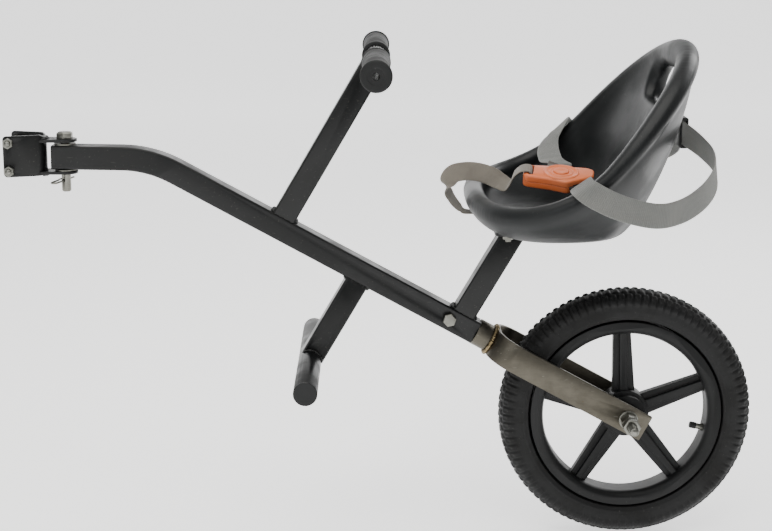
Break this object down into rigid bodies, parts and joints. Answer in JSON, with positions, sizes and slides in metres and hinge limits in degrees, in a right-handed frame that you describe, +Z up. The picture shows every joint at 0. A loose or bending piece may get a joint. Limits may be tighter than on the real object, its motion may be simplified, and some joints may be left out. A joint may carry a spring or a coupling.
{
  "type": "child bicycle trailer",
  "caption": "One-wheel child trailer: square boom hinged to a seat-post clamp, bucket seat with buckled straps, handlebar, footrest and spoked rear wheel.",
  "frame": {"origin": "centre of the seat-post clamp, half way up its plate", "axes": "+Z up the seat post, +X to the rear along the trailer, -Y the trailer's left side"},
  "size_m": [0.8128, 0.3996, 0.5528],
  "materials": {
    "black_paint": "satin powder coat",
    "bare_steel": "oiled flat bar",
    "zinc": "zinc plated",
    "chrome_tube": "plated tube",
    "weld_metal": "weld bead",
    "grip_rubber": "soft matt",
    "black_plastic": "moulded",
    "tyre_rubber": "matt",
    "tube_rubber": "matt",
    "rim_plastic": "moulded",
    "seat_plastic": "blown polyethylene",
    "lap_webbing": "woven",
    "crotch_webbing": "woven, worn",
    "orange_plastic": "moulded",
    "tongue_plastic": "moulded"
  },
  "bodies": {
    "hitch": {"clamp_plate": "black_paint", "yoke_ear_top": "black_paint", "yoke_ear_bottom": "black_paint", "hitch_welds": "weld_metal", "clamp_bolts": "zinc", "clamp_nuts": "zinc"},
    "pin": {"hitch_pin": "zinc"},
    "clip": {"r_clip": "zinc"},
    "wheel": {"tyre": "tyre_rubber", "inner_tube": "tube_rubber", "wheel_rim": "rim_plastic", "valve_stem": "zinc", "valve_cap": "black_plastic", "bearings": "zinc"},
    "left_tongue_body": {"left_tongue": "tongue_plastic"},
    "right_tongue_body": {"right_tongue": "tongue_plastic"},
    "button": {"buckle_button": "orange_plastic"},
    "trailer": {"axle": "zinc", "axle_lock_nuts": "zinc", "axle_nuts": "zinc", "axle_spacers": "zinc", "axle_washers": "zinc", "boom_tube": "black_paint", "buckle_housing": "orange_plastic", "button_spring": "zinc", "crotch_strap": "crotch_webbing", "crown_weld": "weld_metal", "footrest_plugs": "black_plastic", "footrest_post": "black_paint", "footrest_tube": "black_paint", "fork_stem": "bare_steel", "fork_strap": "bare_steel", "frame_welds": "weld_metal", "handlebar_post": "black_paint", "handlebar_tube": "chrome_tube", "jam_nuts": "zinc", "lap_strap_left": "lap_webbing", "lap_strap_right": "lap_webbing", "left_grip": "grip_rubber", "pivot_sleeve": "black_paint", "right_grip": "grip_rubber", "seat_bolts": "zinc", "seat_nuts": "zinc", "seat_plate": "black_paint", "seat_post": "black_paint", "seat_shell": "seat_plastic", "stem_bolt": "zinc", "stem_nut": "zinc", "strap_slider": "black_plastic", "thrust_washers": "zinc"}
  },
  "joints": [
    {"name": "hitch_yaw", "type": "hinge", "parent": "hitch", "child": "trailer", "pos_m": [0.0364, 0, 0], "axis": [0, 0, 1], "range_deg": [-75, 75]},
    {"name": "pin_lift", "type": "slide", "parent": "hitch", "child": "pin", "axis": [0, 0, 1], "range_m": [0, 0.005]},
    {"name": "clip_pull", "type": "slide", "parent": "pin", "child": "clip", "axis": [-0.4216, -0.9041, -0.0698], "range_m": [0, 0.03]},
    {"name": "wheel_spin", "type": "hinge", "parent": "trailer", "child": "wheel", "pos_m": [0.6469, 0, -0.28896], "axis": [0, 1, 0], "continuous": true},
    {"name": "button_press", "type": "slide", "parent": "trailer", "child": "button", "axis": [-0.011, 0.2402, -0.9707], "range_m": [0, 0.0016], "stiffness_N_per_m": 600, "deforming": ["button_spring"]},
    {"name": "left_tongue_slide", "type": "slide", "parent": "trailer", "child": "left_tongue_body", "axis": [0.4903, -0.8448, -0.2146], "range_m": [0, 0.022], "deforming": ["lap_strap_left"]},
    {"name": "right_tongue_slide", "type": "slide", "parent": "trailer", "child": "right_tongue_body", "axis": [0.1156, 0.9645, 0.2373], "range_m": [0, 0.022], "deforming": ["lap_strap_right"]}
  ]
}
